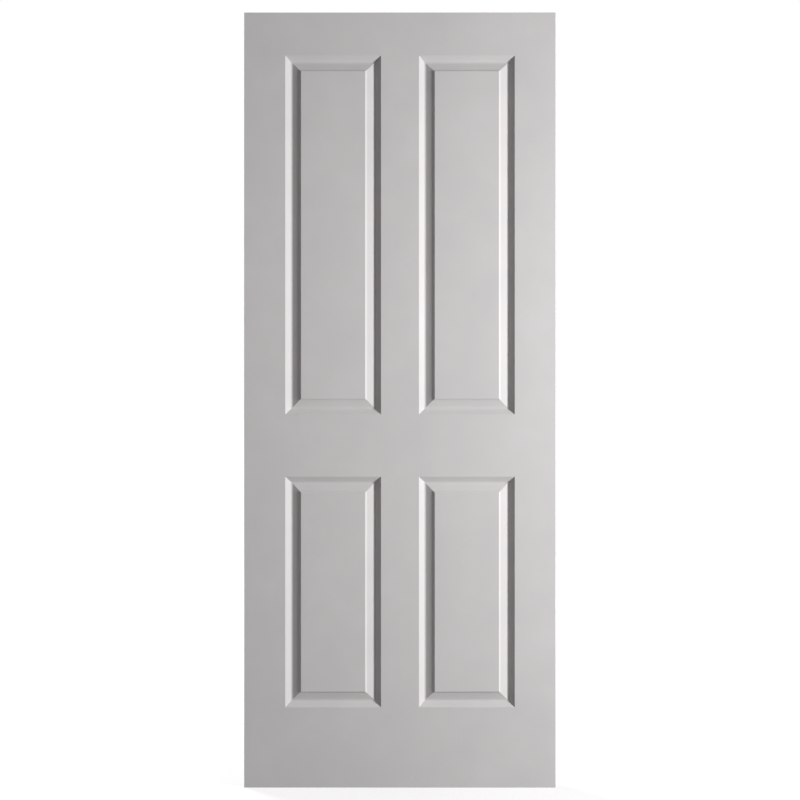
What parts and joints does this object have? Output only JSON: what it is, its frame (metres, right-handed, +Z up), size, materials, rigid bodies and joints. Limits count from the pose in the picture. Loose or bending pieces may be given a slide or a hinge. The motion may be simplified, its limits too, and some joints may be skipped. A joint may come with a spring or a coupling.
{
  "type": "interior door leaf",
  "caption": "Upright hollow-core interior door leaf with moulded raised panels on both faces, pale primer and softwood edges, ready to be hung on hinges and bored for a handle.",
  "frame": {"origin": "middle of the leaf's bottom edge, at mid-thickness", "axes": "+Z up the leaf, +X across it to the right as seen from the front, -Y out of the front face"},
  "size_m": [0.82, 0.035, 2.04],
  "materials": {
    "primed_board": "smooth pressed fibreboard in pale grey satin primer",
    "softwood": "planed, unpainted finger-jointed softwood",
    "kraft_paper": "brown kraft paper",
    "steel": "bright corrugated strip"
  },
  "bodies": {
    "root": {"front_skin": "primed_board", "back_skin": "primed_board", "left_stile": "softwood", "right_stile": "softwood", "top_rail": "softwood", "bottom_rail": "softwood", "left_lock_block": "softwood", "right_lock_block": "softwood", "corner_fasteners": "steel", "upper_left_panel_pad": "kraft_paper", "upper_right_panel_pad": "kraft_paper", "lower_left_panel_pad": "kraft_paper", "lower_right_panel_pad": "kraft_paper", "upper_mullion_pad": "kraft_paper", "lower_mullion_pad": "kraft_paper", "top_rail_pad": "kraft_paper", "lock_rail_pad": "kraft_paper", "bottom_rail_pad": "kraft_paper", "upper_left_side_pad": "kraft_paper", "upper_right_side_pad": "kraft_paper", "lower_left_side_pad": "kraft_paper", "lower_right_side_pad": "kraft_paper"}
  },
  "joints": []
}
